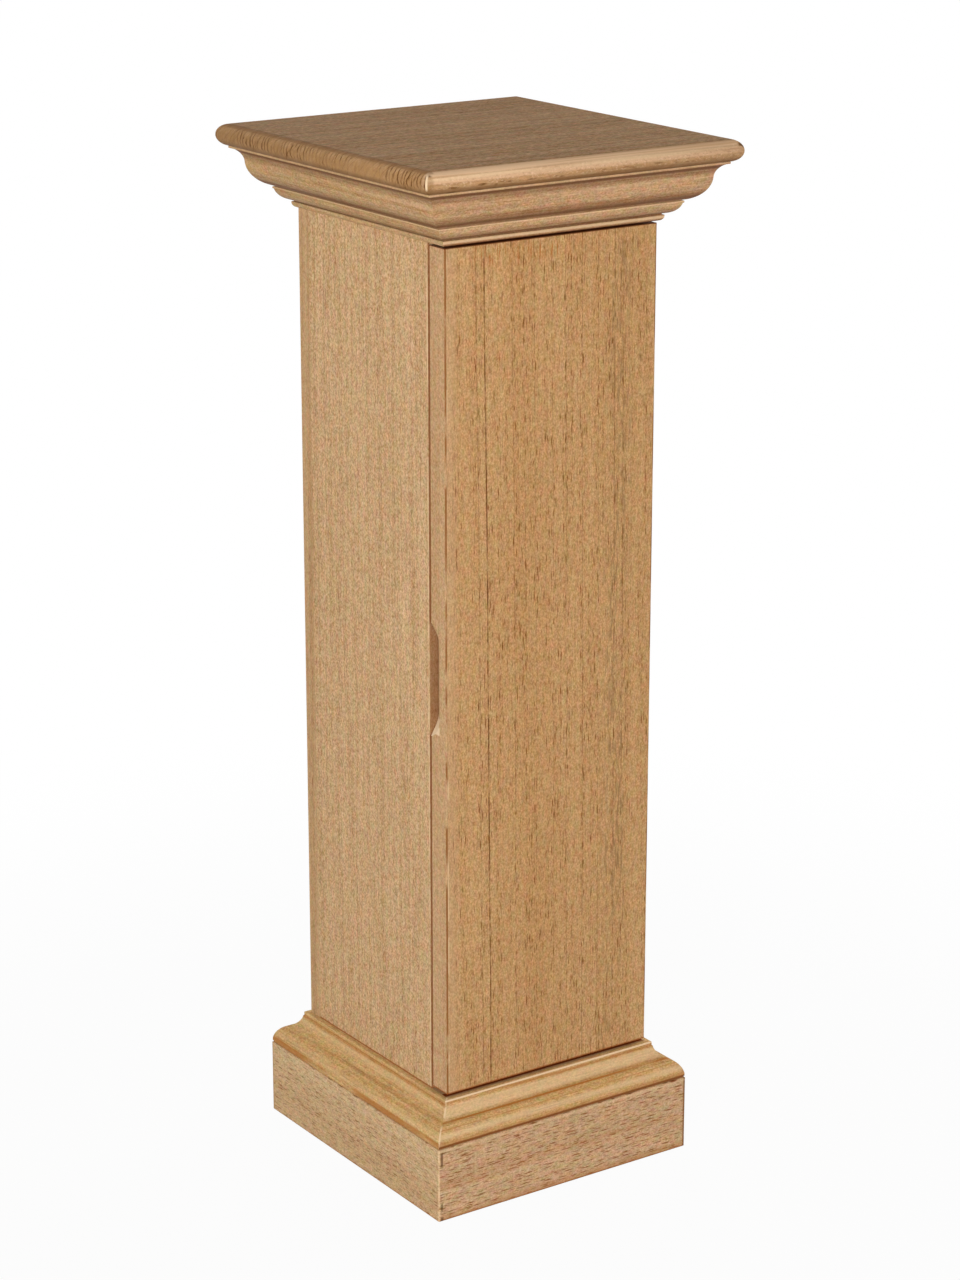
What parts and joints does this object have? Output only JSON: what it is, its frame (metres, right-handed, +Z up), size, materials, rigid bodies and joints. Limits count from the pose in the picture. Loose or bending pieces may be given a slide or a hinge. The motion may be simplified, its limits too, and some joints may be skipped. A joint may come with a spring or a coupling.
{
  "type": "column plant stand",
  "caption": "Square wooden column plant stand with a bullnosed top, moulded cornice and plinth, and a flush side-hung door with a finger notch over a shelved cupboard.",
  "frame": {"origin": "on the floor, below the middle of the column and of the top board", "axes": "+Z up along the column, -Y out of the door, +X towards the hinges"},
  "size_m": [0.263, 0.272, 0.762],
  "materials": {
    "beech_panel": "clear finished beech, upright grain with short dark flecks",
    "beech_door": "clear finished beech, upright grain with darker streaks",
    "beech_edge_band": "plain beech strip, upright grain",
    "beech_top": "clear finished beech, grain along the width, end grain on the sides",
    "beech_moulding": "clear finished solid beech, grain along the length",
    "beech_plinth": "clear finished solid beech, grain along the length",
    "beech_interior": "clear finished beech board",
    "beech_dowel": "plain beech",
    "brass": "satin brass",
    "zinc_steel": "bright zinc plate",
    "catch_plastic": "moulded brown plastic",
    "ferrite": "dark grey ferrite"
  },
  "bodies": {
    "stand": {"top_board": "beech_top", "crown_front": "beech_moulding", "crown_left": "beech_moulding", "crown_right": "beech_moulding", "crown_back": "beech_moulding", "bed_moulding_front": "beech_moulding", "bed_moulding_left": "beech_moulding", "bed_moulding_right": "beech_moulding", "bed_moulding_back": "beech_moulding", "base_cap_front": "beech_moulding", "base_cap_left": "beech_moulding", "base_cap_right": "beech_moulding", "base_cap_back": "beech_moulding", "plinth_front": "beech_plinth", "plinth_left": "beech_plinth", "plinth_right": "beech_plinth", "plinth_back": "beech_plinth", "left_side_panel": "beech_panel", "right_side_panel": "beech_panel", "back_panel": "beech_panel", "cupboard_floor": "beech_interior", "cupboard_ceiling": "beech_interior", "shelf_1": "beech_interior", "shelf_2": "beech_interior", "upper_front_rail": "beech_panel", "lower_front_rail": "beech_panel", "carcass_dowels": "beech_dowel", "shelf_pegs_1": "brass", "shelf_pegs_2": "brass", "upper_hinge_side_leaf": "brass", "lower_hinge_side_leaf": "brass", "hinge_pins": "brass", "hinge_side_screws": "brass", "back_screws": "zinc_steel", "top_screws": "zinc_steel", "catch_screws": "zinc_steel", "catch_pole_plates": "zinc_steel", "catch_housing": "catch_plastic", "catch_magnet": "ferrite"},
    "door": {"door_panel": "beech_door", "door_free_edge_band": "beech_edge_band", "door_hinge_edge_band": "beech_edge_band", "upper_hinge_door_leaf": "brass", "lower_hinge_door_leaf": "brass", "hinge_door_screws": "brass", "strike_plate": "zinc_steel", "strike_screw": "zinc_steel"}
  },
  "joints": [
    {"name": "door_hinge", "type": "hinge", "parent": "stand", "child": "door", "pos_m": [0.0925, -0.074, 0.3942], "axis": [0, 0, 1], "range_deg": [0, 195]}
  ]
}
